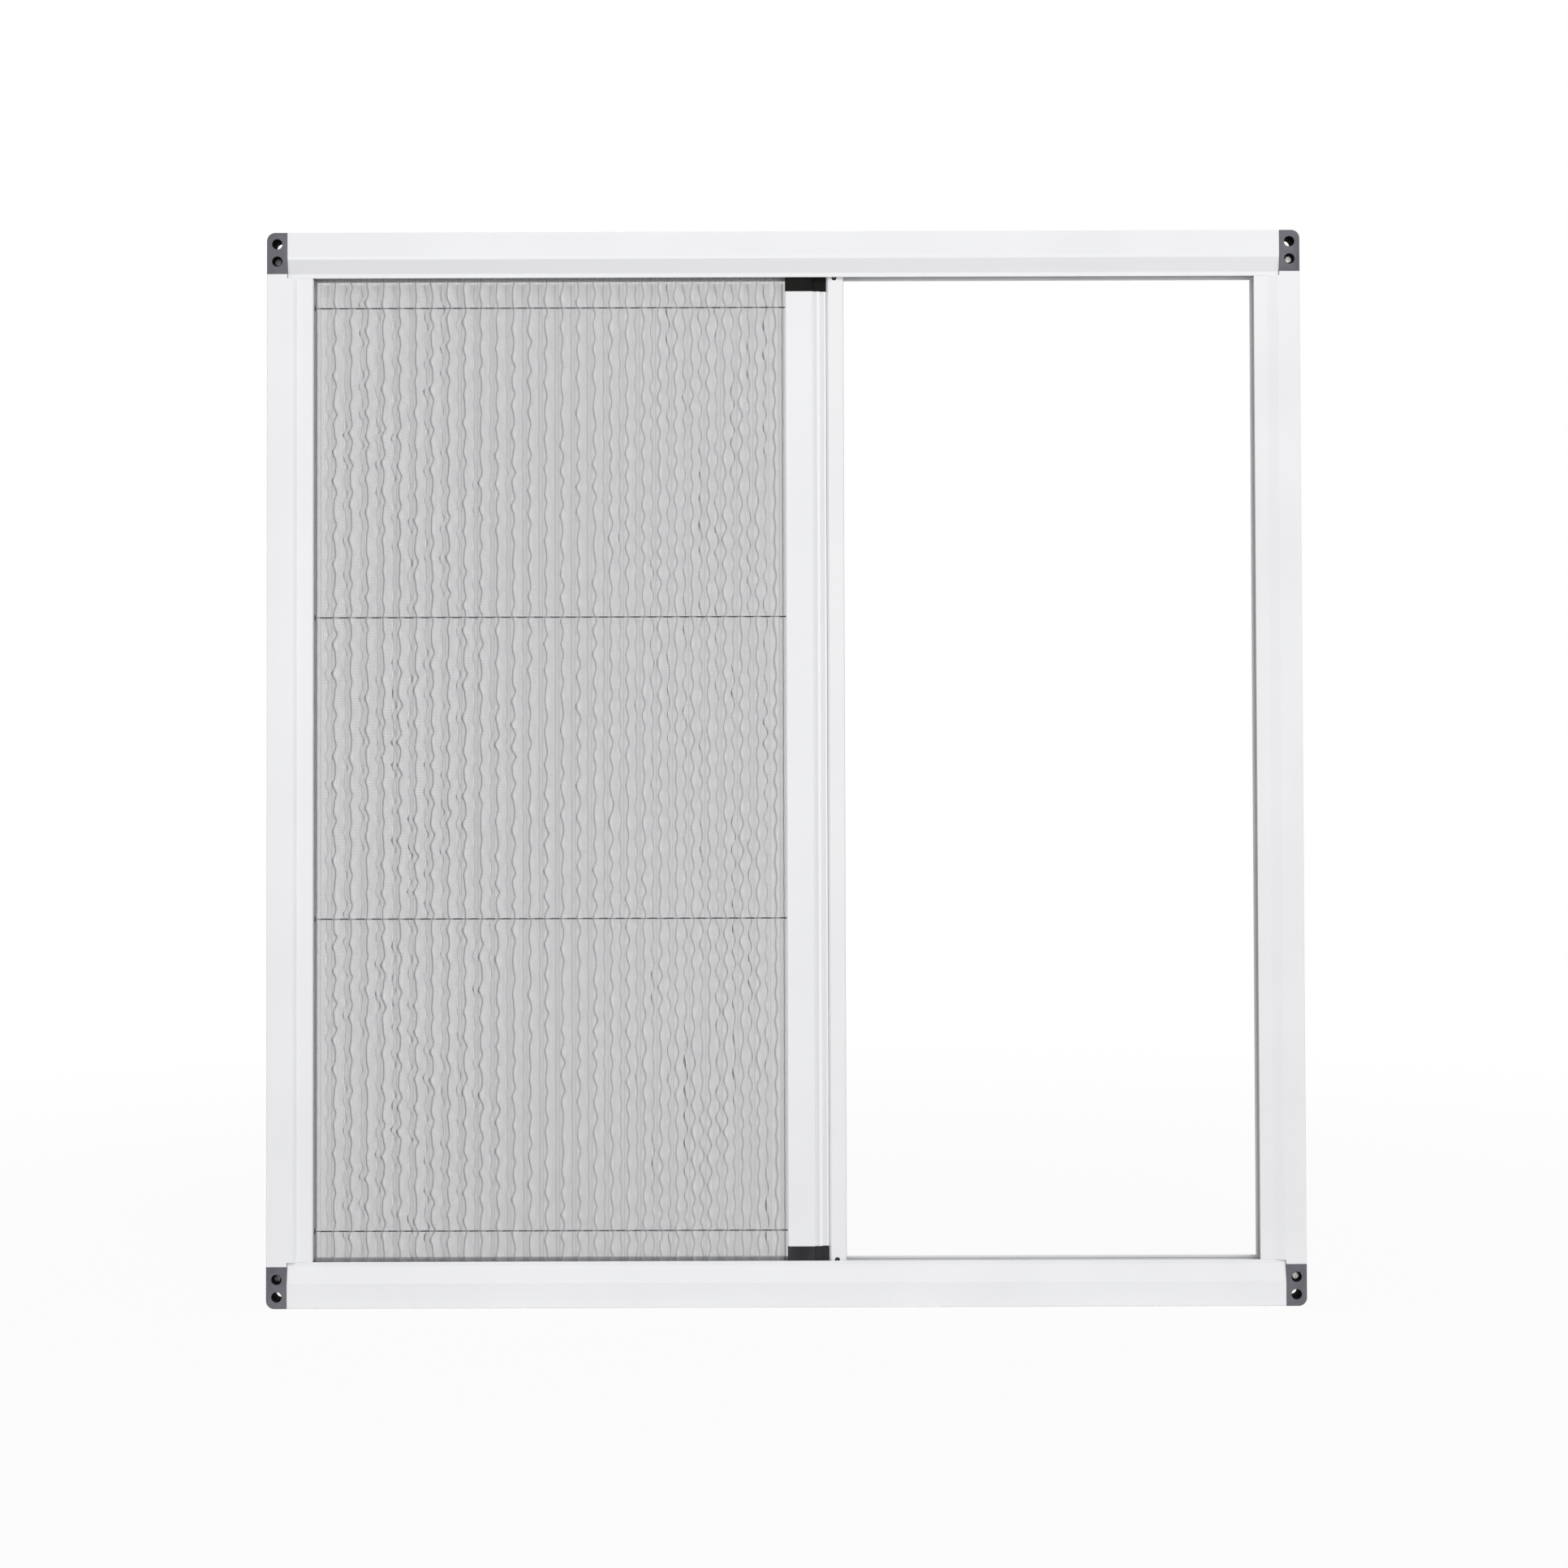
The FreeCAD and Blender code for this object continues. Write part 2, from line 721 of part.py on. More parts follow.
def make_cap(doc, s):
    """The top slider: it plugs into the bar, fills the gap to the rail and runs in its channel.

    Its slot and top groove lead the cords round from the bar to the rail, and the nose's tongue
    passes up its side.
    """
    body = make_body(doc, "bar_cap_top")
    front, back, wall = -s.bar_front, s.bar_front, s.bar_wall
    left, edge, right = -s.cap_shoulder, s.bar_face - s.cap_shoulder, s.bar_width
    floor, height = front + s.groove_depth, rail_floor(s) - s.running_gap - bar_end(s)
    head = new_sketch(body, "XY_Plane")
    outline = [(left, front, s.edge_round), (edge, front, s.edge_round), (edge, floor)]
    outline += [(right, floor), (right, back), (left, back)]
    draw_outline(head, outline)
    pad(body, head, height)
    start = s.bar_end_cut + s.cap_guide_start
    guide = new_sketch(body, "XY_Plane", start)
    guide_front = -s.frame_depth / 2 + s.face_drop + s.rail_wall + s.running_gap
    guide_back = s.frame_depth / 2 - s.rail_wall - s.bead_height - s.running_gap
    draw_box(guide, (s.edge_round * 2, guide_front), (right - s.edge_round * 2, guide_back))
    pad(body, guide, height - start)
    plug = new_sketch(body, "XY_Plane")
    gap = wall + s.fit_gap
    draw_box(plug, (s.mesh_seat + gap, front + gap), (s.bar_face - gap, back - gap))
    pad(body, plug, s.cap_plug_length, backwards=True)
    outer_riser, inner_riser = riser_places(s)
    slot_left, half_slot = outer_riser - s.cord_slot / 2, s.cord_slot / 2
    slot = new_sketch(body, "XY_Plane")
    draw_box(slot, (slot_left, -half_slot), (inner_riser + s.cord_slot, half_slot))
    pocket(body, slot, (height + s.cap_plug_length) * 2, both_ways=True)
    groove = new_sketch(body, "XZ_Plane")
    bottom = nose_end(s) - bar_end(s)
    draw_box(groove, (slot_left, bottom), (right + 1, height + 1))
    pocket(body, groove, s.cord_slot, both_ways=True)
    hook = new_sketch(body, "XY_Plane")
    gap, half_head = s.running_gap, s.tongue_head / 2
    nose_left = right + gap - s.tongue_reach
    low, high = s.tongue_centre - half_head - gap, s.tongue_centre + half_head + gap
    draw_box(hook, (nose_left - gap, low), (right + 1, high))
    pocket(body, hook, nose_end(s) - bar_end(s) + gap, backwards=True)
    return put(body, x=s.bar_left, z=bar_end(s))


def make_anchor(doc, s):
    """The block at the end of the top rail's channel that holds the cords' right ends."""
    body = make_body(doc, "cord_anchor_top")
    side = new_sketch(body, "XZ_Plane")
    right = s.frame_width / 2 - s.corner_width - s.fit_gap
    left, top = right - s.anchor_length, rail_floor(s)
    bottom = return_levels(s)[1] - s.anchor_cover
    bevel = s.anchor_cover / 2
    outline = [(left, top), (left, bottom + bevel), (left + bevel, bottom), (right, bottom), (right, top)]
    draw_outline(side, outline)
    pad(body, side, s.anchor_width, both_ways=True)
    return body


def make_mesh(doc, s):
    """The pleated mesh: one pleat, repeated from the left holder to the bar.

    A pleat starts and ends at mid-depth, so the cords meet its panels at their middles.
    """
    body = make_body(doc, "pleated_mesh")
    start = holder_face(s) + s.mesh_end_gap
    end = s.bar_left - s.holder_proud - s.mesh_end_gap
    pitch = (end - start) / s.pleat_count
    half, thick = s.pleat_depth / 2, s.mesh_thickness / 2
    fold = [(0, 0), (pitch / 4, -half), (pitch * 3 / 4, half), (pitch, 0)]
    outline = [(x, as_length(y) - thick) for x, y in fold]
    outline += [(x, as_length(y) + thick) for x, y in reversed(fold)]
    section = new_sketch(body, "XY_Plane")
    draw_outline(section, outline)
    height = (rail_floor(s) - s.mesh_rail_gap) * 2
    pleat = pad(body, section, height, both_ways=True)
    row = body.newObject("PartDesign::LinearPattern", "pleat_row")
    row.Originals = [pleat]
    row.Direction = (section, ["H_Axis"])
    row.setExpression("Length", (end - start - pitch).text)
    row.setExpression("Occurrences", s.pleat_count.text)
    body.Tip = row
    holes = new_sketch(body, "YZ_Plane")
    draw_cord_holes(holes, s, s.cord_slot)
    pocket(body, holes, (end - start) * 3, both_ways=True)
    return put(body, x=start)


def draw_cord_section(sketch, s, height):
    """A cord's section, a six-sided stand-in for the round braid."""
    radius = s.cord_diameter / 2
    turns = [math.radians(60 * corner) for corner in range(6)]
    draw_outline(sketch, [(radius * math.cos(t), radius * math.sin(t) + height) for t in turns])


def straight_cord(doc, s, label, start, end, height):
    """A taut length of cord across the frame."""
    body = make_body(doc, label)
    section = new_sketch(body, "YZ_Plane")
    draw_cord_section(section, s, 0)
    pad(body, section, end - start)
    return put(body, x=start, z=height)


def riser_cord(doc, s, label, height, across, top):
    """A cord's stretch in the bar: in from the mesh, up the bar and out along the rail."""
    body = make_body(doc, label)
    path = new_sketch(body, "XZ_Plane")
    start = -s.holder_proud
    outline = [(start, height), (across, height, s.cord_turn), (across, top, s.cord_turn)]
    draw_outline(path, [*outline, (s.bar_width, top)], closed=False)
    section = new_sketch(body, "YZ_Plane", start)
    draw_cord_section(section, s, height)
    pipe = body.newObject("PartDesign::AdditivePipe", f"{label}_pipe")
    pipe.Profile = section
    pipe.Spine = path
    return put(body, x=s.bar_left)


def make_cords(doc, s):
    """Four taut cords, each in three lengths: across the mesh, inside the bar, along a rail."""
    span_start, span_end = holder_face(s), s.bar_left - s.holder_proud
    return_start = s.bar_left + s.bar_width
    return_end = s.frame_width / 2 - s.corner_width - s.fit_gap - s.anchor_length
    cords = []
    for number, height in enumerate(cord_levels(s), 1):
        cords.append(straight_cord(doc, s, f"cord_span_{number}", span_start, span_end, height))
    stretches = zip(cord_levels(s)[:2], riser_places(s), return_levels(s))
    for number, (height, across, top) in enumerate(stretches, 1):
        riser = riser_cord(doc, s, f"cord_riser_{number}", height, across, top)
        back = straight_cord(doc, s, f"cord_return_{number}", return_start, return_end, top)
        lower = 5 - number
        cords += [riser, mirrored(doc, riser, f"cord_riser_{lower}")]
        cords += [back, mirrored(doc, back, f"cord_return_{lower}")]
    return cords


def write_parts(doc, parts):
    """Checks the document and each sub-part, then writes one file for each sub-part."""
    broken = [item.Name for item in doc.Objects if {"Invalid", "Error"} & set(item.State)]
    broken += [part.Label for part in parts if part.Shape.isNull() or not part.Shape.isValid()]
    if broken:
        raise RuntimeError(f"not built: {', '.join(broken)}")
    os.makedirs("parts", exist_ok=True)
    for part in parts:
        part.Shape.exportStep(f"parts/{part.Label}.step")
        print(f"{part.Label}: {len(part.Shape.Solids)} solid, {part.Shape.Volume:.1f} mm3")


def main():
    doc = FreeCAD.newDocument("insect_screen")
    s = make_sheet(doc)
    parts = make_rails(doc, s) + make_jambs(doc, s)
    parts += make_corners(doc, s) + make_corner_screws(doc, s)
    parts += [make_left_holder(doc, s), *make_cord_plugs(doc, s)]
    parts += [make_bar(doc, s), make_nose(doc, s), *make_nose_plugs(doc, s), *make_magnets(doc, s)]
    parts.append(make_bar_holder(doc, s))
    cap, anchor = make_cap(doc, s), make_anchor(doc, s)
    parts += [cap, mirrored(doc, cap, "bar_cap_bottom")]
    parts += [anchor, mirrored(doc, anchor, "cord_anchor_bottom")]
    parts += [make_mesh(doc, s), *make_cords(doc, s)]
    doc.recompute()
    write_parts(doc, parts)


main()
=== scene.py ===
"""Pleated window screen: its finishes, its folded net and cords, and the small studio around it."""

import json
import logging
import math
from collections.abc import Iterable
from dataclasses import dataclass, field
from enum import Enum

import bmesh
import bpy
from mathutils import Euler, Matrix, Vector, noise


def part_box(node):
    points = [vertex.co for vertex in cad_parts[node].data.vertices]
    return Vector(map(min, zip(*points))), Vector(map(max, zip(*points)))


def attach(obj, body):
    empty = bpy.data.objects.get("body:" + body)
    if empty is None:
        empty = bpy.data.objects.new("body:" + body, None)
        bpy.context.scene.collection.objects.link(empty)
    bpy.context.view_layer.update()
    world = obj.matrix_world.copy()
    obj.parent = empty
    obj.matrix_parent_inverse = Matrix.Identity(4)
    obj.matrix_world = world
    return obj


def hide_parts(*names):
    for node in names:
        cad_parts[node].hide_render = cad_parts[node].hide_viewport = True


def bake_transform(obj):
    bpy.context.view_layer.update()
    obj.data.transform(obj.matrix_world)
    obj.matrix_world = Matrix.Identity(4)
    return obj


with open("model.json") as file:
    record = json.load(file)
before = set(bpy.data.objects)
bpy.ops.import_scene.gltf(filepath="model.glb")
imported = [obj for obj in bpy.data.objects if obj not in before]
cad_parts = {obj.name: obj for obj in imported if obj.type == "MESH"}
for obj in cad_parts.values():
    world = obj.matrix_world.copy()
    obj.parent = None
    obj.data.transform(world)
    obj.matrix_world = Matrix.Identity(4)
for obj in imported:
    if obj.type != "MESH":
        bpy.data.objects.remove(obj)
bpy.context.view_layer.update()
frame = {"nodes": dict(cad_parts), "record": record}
LOG = logging.getLogger("screen")
MM = 0.001

Triple = tuple[float, float, float]
Colour = Triple


class Body(Enum):
    """The two moving bodies of the screen."""

    FRAME = "frame"
    BAR = "bar"


class Ends(Enum):
    """The two ends of an upright length."""

    TOP = "top"
    BOTTOM = "bottom"


class Axis(Enum):
    """The two directions in which the lengths of the frame run."""

    ACROSS = "across"
    UP = "up"


# Shader maths


@dataclass(frozen=True)
class Signal:
    """One output socket, with arithmetic that adds Math nodes."""

    shader: "Shader"
    socket: bpy.types.NodeSocket

    def _math(self, operation: str, *values: "Signal | float") -> "Signal":
        """Adds a Math node.

        Args:
            operation: the node's operation.
            values: its inputs, in order.

        Returns:
            The node's result.
        """
        return self.shader.node("Math", {"operation": operation}, dict(enumerate(values)))

    def __add__(self, other: "Signal | float") -> "Signal":
        """Adds two values."""
        return self._math("ADD", self, other)

    def __radd__(self, other: float) -> "Signal":
        """Adds the other way round."""
        return self._math("ADD", other, self)

    def __sub__(self, other: "Signal | float") -> "Signal":
        """Takes a value away."""
        return self._math("SUBTRACT", self, other)

    def __rsub__(self, other: float) -> "Signal":
        """Takes this value from a number."""
        return self._math("SUBTRACT", other, self)

    def __mul__(self, other: "Signal | float") -> "Signal":
        """Multiplies two values."""
        return self._math("MULTIPLY", self, other)

    def __rmul__(self, other: float) -> "Signal":
        """Multiplies the other way round."""
        return self._math("MULTIPLY", other, self)

    def __truediv__(self, other: "Signal | float") -> "Signal":
        """Divides by a value."""
        return self._math("DIVIDE", self, other)

    def __abs__(self) -> "Signal":
        """The value without its sign."""
        return self._math("ABSOLUTE", self)

    def maximum(self, other: "Signal | float") -> "Signal":
        """The larger of two values."""
        return self._math("MAXIMUM", self, other)

    def wave(self) -> "Signal":
        """The sine of the value."""
        return self._math("SINE", self)

    def fraction(self) -> "Signal":
        """The part after the point."""
        return self._math("FRACT", self)

    def ramp(self, low: float, high: float, start: float = 0.0, end: float = 1.0) -> "Signal":
        """Eases the value from start to end while it goes from low to high.

        Args:
            low: where the change begins.
            high: where it ends.
            start: the result at low.
            end: the result at high.

        Returns:
            The eased value.
        """
        values = {"Value": self, "From Min": low, "From Max": high, "To Min": start, "To Max": end}
        return self.shader.node("MapRange", {"interpolation_type": "SMOOTHSTEP"}, values)


@dataclass
class Shader:
    """The node tree of one material."""

    tree: bpy.types.NodeTree

    def node(
        self,
        kind: str,
        settings: dict[str, object] | None = None,
        values: dict[str | int, object] | None = None,
        out: str | int = 0,
    ) -> Signal:
        """Adds a node.

        Args:
            kind: the node's type, without its ShaderNode prefix.
            settings: its own settings, set before its sockets.
            values: numbers, colours or signals for its input sockets.
            out: the output that is wanted.

        Returns:
            The wanted output.
        """
        made = self.tree.nodes.new(f"ShaderNode{kind}")
        for name, value in (settings or {}).items():
            setattr(made, name, value)
        for name, value in (values or {}).items():
            self.feed(made.inputs[name], value)
        return Signal(self, made.outputs[out])

    def feed(self, socket: bpy.types.NodeSocket, value: object) -> None:
        """Links a signal to a socket, or sets its value.

        Args:
            socket: the input socket.
            value: a signal, a number or a colour.
        """
        if isinstance(value, Signal):
            self.tree.links.new(value.socket, socket)
        elif isinstance(value, tuple) and len(value) == 3 and socket.type == "RGBA":
            socket.default_value = (*value, 1.0)
        else:
            socket.default_value = value

    def place(self) -> Signal:
        """The point's place in the screen's own axes."""
        return self.node("TexCoord", out="Object")

    def split(self, vector: Signal) -> tuple[Signal, Signal, Signal]:
        """The three parts of a vector."""
        first = self.node("SeparateXYZ", {}, {0: vector})
        second, third = first.socket.node.outputs[1:]
        return first, Signal(self, second), Signal(self, third)

    def noise(self, scale: float, detail: float = 2.0, stretch: Triple = (1.0, 1.0, 1.0)) -> Signal:
        """Soft random values from 0 to 1 over the part.

        Args:
            scale: features to a metre.
            detail: how many finer layers are added.
            stretch: a factor on the scale along each axis.

        Returns:
            The noise.
        """
        where = self.node("Mapping", {"vector_type": "POINT"}, {"Vector": self.place(), "Scale": stretch})
        return self.node("TexNoise", {}, {"Vector": where, "Scale": scale, "Detail": detail})

    def mix(self, factor: Signal, first: Signal | Colour, second: Signal | Colour) -> Signal:
        """Goes from one colour to another.

        Args:
            factor: 0 for the first colour and 1 for the second.
            first: the first colour.
            second: the second colour.

        Returns:
            The mixed colour.
        """
        return self.node("Mix", {"data_type": "RGBA"}, {0: factor, 6: first, 7: second}, out=2)

    def bump(self, height: Signal, depth: float, strength: float = 1.0) -> Signal:
        """A bumped normal.

        Args:
            height: the relief, from 0 to 1.
            depth: how deep it is, in metres.
            strength: how much of it shows.

        Returns:
            The normal.
        """
        return self.node("Bump", {}, {"Height": height, "Distance": depth, "Strength": strength})


def start_material(name: str) -> tuple[bpy.types.Material, Shader, bpy.types.Node]:
    """Starts a material.

    Args:
        name: the material's name.

    Returns:
        The material, its tree and its main shader node.
    """
    material = bpy.data.materials.new(name)
    material.use_nodes = True
    shader = Shader(material.node_tree)
    return material, shader, material.node_tree.nodes["Principled BSDF"]


def dress(shader: Shader, surface: bpy.types.Node, **sockets: object) -> None:
    """Sets the main shader's sockets, with underscores in place of spaces.

    Args:
        shader: the material's tree.
        surface: its main shader node.
        sockets: a value or a signal for each socket.
    """
    for name, value in sockets.items():
        shader.feed(surface.inputs[name.replace("_", " ")], value)


# Finishes


# The powder coat's colour with painted shade, for slopes and recesses turned away from the light, and with
# a painted highlight, for edges that catch it.
PAINTED_SHADE_TINT: Colour = (0.735, 0.738, 0.752)
PAINTED_HIGHLIGHT_TINT: Colour = (0.915, 0.918, 0.928)


@dataclass(frozen=True)
class Band:
    """A straight band of painted light on the front half, darker for shade and lighter for a highlight,
    with its strength at the left and the right.
    """

    axis: Axis
    low: float
    high: float
    tint: Colour
    soft: float
    left: float = 1.0
    right: float = 1.0
    rail_end: float = 0.4
    front: tuple[float, float] = (-2.0 * MM, 0.0)

    def mask(self, shader: Shader) -> Signal:
        """Where the band lies.

        Args:
            shader: the material's tree.

        Returns:
            The band's share of the colour.
        """
        across, depth, up = shader.split(shader.place())
        along = across if self.axis is Axis.ACROSS else up
        inside = along.ramp(self.low - self.soft, self.low)
        inside = inside * along.ramp(self.high, self.high + self.soft, 1.0, 0.0)
        strength = across.ramp(-self.rail_end, self.rail_end, self.left, self.right)
        return inside * strength * depth.ramp(*self.front, 1.0, 0.0)


@dataclass(frozen=True)
class PowderCoat:
    """White powder coating on extruded aluminium: satin, with a fine orange peel."""

    name: str = "white_powder_coat"
    light: Colour = (0.875, 0.878, 0.89)
    shade: Colour = (0.835, 0.838, 0.852)
    bands: tuple[Band, ...] = ()
    peel_scale: float = 620.0
    peel_depth: float = 0.00006

    def make(self) -> bpy.types.Material:
        """Makes the material."""
        material, shader, surface = start_material(self.name)
        cloud = shader.noise(7.0, 3.0)
        peel = shader.noise(self.peel_scale, 2.0)
        colour = shader.mix(cloud.ramp(0.3, 0.7), self.shade, self.light)
        # Painted shade and painted highlight: each band tints the coat's own colour.
        for band in self.bands:
            colour = shader.mix(band.mask(shader), colour, band.tint)
        rough = cloud.ramp(0.25, 0.75, 0.36, 0.44) + peel * 0.06
        dress(
            shader,
            surface,
            Base_Color=colour,
            Roughness=rough,
            Normal=shader.bump(peel, self.peel_depth, 0.35),
            Specular_IOR_Level=0.42,
        )
        return material


@dataclass(frozen=True)
class MouldedPlastic:
    """Injection-moulded plastic with a fine spark-eroded grain, faint flow marks and painted shade in its
    deep wells.

    A well is a deep hole along the depth: its place across, its place up and its radius.
    """

    name: str
    light: Colour
    shade: Colour
    roughness: float = 0.5
    gloss: float = 0.4
    wells: tuple[Triple, ...] = ()
    # The painted shade deep in the wells.
    pit: Colour = (0.012, 0.012, 0.014)
    mouth: float = -11.8 * MM
    dim_over: float = 1.5 * MM
    grain_scale: float = 1500.0
    grain_depth: float = 0.00008

    def make(self) -> bpy.types.Material:
        """Makes the material."""
        material, shader, surface = start_material(self.name)
        flow = shader.noise(60.0, 4.0, (1.0, 1.0, 0.35))
        grain = shader.noise(self.grain_scale, 2.0)
        tone = (flow * 0.6 + grain * 0.4).ramp(0.3, 0.7)
        colour = shader.mix(tone, self.shade, self.light)
        rough = grain.ramp(0.3, 0.7, self.roughness - 0.06, self.roughness + 0.08)
        if self.wells:
            # Painted shade: the wells turn near black and rougher with depth, where little light reaches.
            deep = self._in_wells(shader)
            colour = shader.mix(deep, colour, self.pit)
            rough = rough + deep * 0.45
        dress(
            shader,
            surface,
            Base_Color=colour,
            Roughness=rough,
            Normal=shader.bump(grain, self.grain_depth, 0.5),
            Specular_IOR_Level=self.gloss,
        )
        return material

    def _in_wells(self, shader: Shader) -> Signal:
        """How far in a well the point lies, from 0 at its mouth to 1 deeper down: the share of painted
        shade.

        Args:
            shader: the material's tree.

        Returns:
            The share.
        """
        x, y, z = shader.split(shader.place())
        near = y * 0.0
        for across, up, radius in self.wells:
            offset = shader.node("CombineXYZ", {}, {0: abs(x) - across, 2: abs(z) - up})
            aside = shader.node("VectorMath", {"operation": "LENGTH"}, {0: offset}, out="Value")
            near = near.maximum(aside.ramp(radius + 0.1 * MM, radius + 0.4 * MM, 1.0, 0.0))
        return near * y.ramp(self.mouth, self.mouth + self.dim_over)


@dataclass(frozen=True)
class PlatedSteel:
    """Plated or blackened steel with small turning marks."""

    name: str
    light: Colour
    shade: Colour
    roughness: float
    mark_depth: float = 0.00003

    def make(self) -> bpy.types.Material:
        """Makes the material."""
        material, shader, surface = start_material(self.name)
        blotch = shader.noise(420.0, 3.0)
        marks = shader.noise(2600.0, 2.0, (1.0, 0.3, 1.0))
        colour = shader.mix(blotch.ramp(0.35, 0.65), self.shade, self.light)
        rough = blotch.ramp(0.3, 0.7, self.roughness, self.roughness + 0.14)
        dress(
            shader,
            surface,
            Base_Color=colour,
            Roughness=rough,
            Metallic=1.0,
            Normal=shader.bump(marks, self.mark_depth, 0.4),
        )
        return material


@dataclass(frozen=True)
class MagnetRubber:
    """Flexible magnet strip: dark, matt and slightly streaked along its length."""

    name: str = "magnet_rubber"
    light: Colour = (0.075, 0.068, 0.062)
    shade: Colour = (0.030, 0.027, 0.025)
    streak_depth: float = 0.00005

    def make(self) -> bpy.types.Material:
        """Makes the material."""
        material, shader, surface = start_material(self.name)
        streak = shader.noise(900.0, 3.0, (1.0, 1.0, 0.04))
        dress(
            shader,
            surface,
            Base_Color=shader.mix(streak.ramp(0.3, 0.7), self.shade, self.light),
            Roughness=streak.ramp(0.3, 0.7, 0.62, 0.8),
            Normal=shader.bump(streak, self.streak_depth, 0.5),
        )
        return material


@dataclass(frozen=True)
class BraidedCord:
    """Dark braided cord. Its pattern follows the cord's own map: along it, and once round it."""

    name: str = "braided_cord"
    light: Colour = (0.115, 0.115, 0.125)
    shade: Colour = (0.030, 0.030, 0.034)
    plait: float = 0.0014
    strands: float = 4.0
    braid_depth: float = 0.0001

    def make(self) -> bpy.types.Material:
        """Makes the material."""
        material, shader, surface = start_material(self.name)
        along, turn, _ = shader.split(shader.node("UVMap", {"uv_map": "UVMap"}))
        along = along * (math.tau / self.plait)
        left = (along + turn * (math.tau * self.strands)).wave()
        right = (along - turn * (math.tau * self.strands)).wave()
        relief = left.maximum(right) * 0.5 + 0.5
        dress(
            shader,
            surface,
            Base_Color=shader.mix(relief.ramp(0.3, 1.0), self.shade, self.light),
            Roughness=relief.ramp(0.2, 1.0, 0.78, 0.62),
            Normal=shader.bump(relief, self.braid_depth, 0.7),
        )
        return material


@dataclass(frozen=True)
class WovenNet:
    """Grey pleated net: woven yarns with open holes, denser along its folds, with painted shade along the
    folds and painted light and shade on the panels by the way they face.

    The map runs across the cloth in metres of cloth, and up it in metres.
    """

    name: str = "woven_net"
    light: Colour = (0.63, 0.63, 0.65)
    shade: Colour = (0.56, 0.56, 0.58)
    # The painted shade along the folds.
    fold: Colour = (0.27, 0.27, 0.285)
    yarn_pitch: float = 0.00125
    yarn_depth: float = 0.00012
    yarn_cover: float = 0.42
    least_cover: float = 0.14
    fold_cover: float = 0.34
    pleat_cloth: float = 0.031
    front_fold: float = 0.25
    back_fold: float = 0.75
    newer_from: tuple[float, float] = (0.2, 0.7)
    hem: float = 0.404
    hem_fade: float = 6.0 * MM
    hem_cover: float = 0.45

    def make(self) -> bpy.types.Material:
        """Makes the material."""
        material, shader, surface = start_material(self.name)
        across, up, _ = shader.split(shader.node("UVMap", {"uv_map": "UVMap"}))
        warp = self._yarn(across)
        weft = self._yarn(up)
        yarns = warp.maximum(weft)
        front = self._near_fold(across, self.front_fold)
        back = self._near_fold(across, self.back_fold)
        fresh = across.ramp(*self.newer_from)
        crease = front.ramp(0.006, 0.07, 1.0, 0.0) * (1.0 - fresh * 0.2)
        soft = back.ramp(0.006, 0.06, 1.0, 0.0) * (0.4 + fresh * 0.15)
        line = crease.maximum(soft)
        # Painted light and shade: panels that face the light are lighter, panels that face away darker.
        side = (across * (math.tau / self.pleat_cloth) - math.tau * self.front_fold).wave()
        slub = shader.noise(160.0, 3.0, (1.0, 1.0, 0.35))
        streak = shader.noise(700.0, 2.0, (1.0, 1.0, 0.03))
        tone = slub.ramp(0.3, 0.7) * 0.35 + streak.ramp(0.3, 0.7) * 0.5 + side * 0.05
        cloth = shader.mix(tone.ramp(0.0, 1.0), self.shade, self.light)
        # Painted shade: the cloth darkens to the fold colour along the folds.
        colour = shader.mix(line, cloth, self.fold)
        cover = yarns * self.yarn_cover + self.least_cover + line * self.fold_cover
        cover = cover - side * (0.015 - fresh * 0.025) - fresh * 0.02
        cover = cover * up.ramp(self.hem - self.hem_fade, self.hem, 1.0, self.hem_cover)
        dress(
            shader,
            surface,
            Base_Color=colour,
            Roughness=slub.ramp(0.3, 0.7, 0.68, 0.8),
            Alpha=cover,
            Normal=shader.bump(yarns, self.yarn_depth, 0.5),
            Specular_IOR_Level=0.2,
        )
        return material

    def _yarn(self, along: Signal) -> Signal:
        """Rounded yarns side by side: 1 on a yarn's crown and 0 in a hole."""
        return abs((along / self.yarn_pitch).fraction() - 0.5).ramp(0.22, 0.42)

    def _near_fold(self, across: Signal, place: float) -> Signal:
        """How far the point is from the nearest fold of one kind, in pleats."""
        turned = (across / self.pleat_cloth - place + 0.5).fraction()
        return abs(turned - 0.5)


# Meshes


def finish_piece(
    name: str, bm: bmesh.types.BMesh, material: bpy.types.Material, smooth: bool = True
) -> bpy.types.Object:
    """Turns a bmesh into a linked object at the origin.

    Args:
        name: the piece's name.
        bm: its shape, which is freed.
        material: its finish.
        smooth: whether its faces are shaded smooth.

    Returns:
        The object.
    """
    for face in bm.faces:
        face.smooth = smooth
    mesh = bpy.data.meshes.new(name)
    bm.to_mesh(mesh)
    bm.free()
    mesh.materials.append(material)
    piece = bpy.data.objects.new(name, mesh)
    bpy.context.scene.collection.objects.link(piece)
    return piece


def smoothstep(value: float, low: float, high: float) -> float:
    """Eases from 0 at low to 1 at high."""
    share = min(1.0, max(0.0, (value - low) / (high - low)))
    return share * share * (3.0 - 2.0 * share)


def unease(weight: float) -> float:
    """The share at which the easing curve has the given weight."""
    return 0.5 - math.sin(math.asin(1.0 - 2.0 * weight) / 3.0)


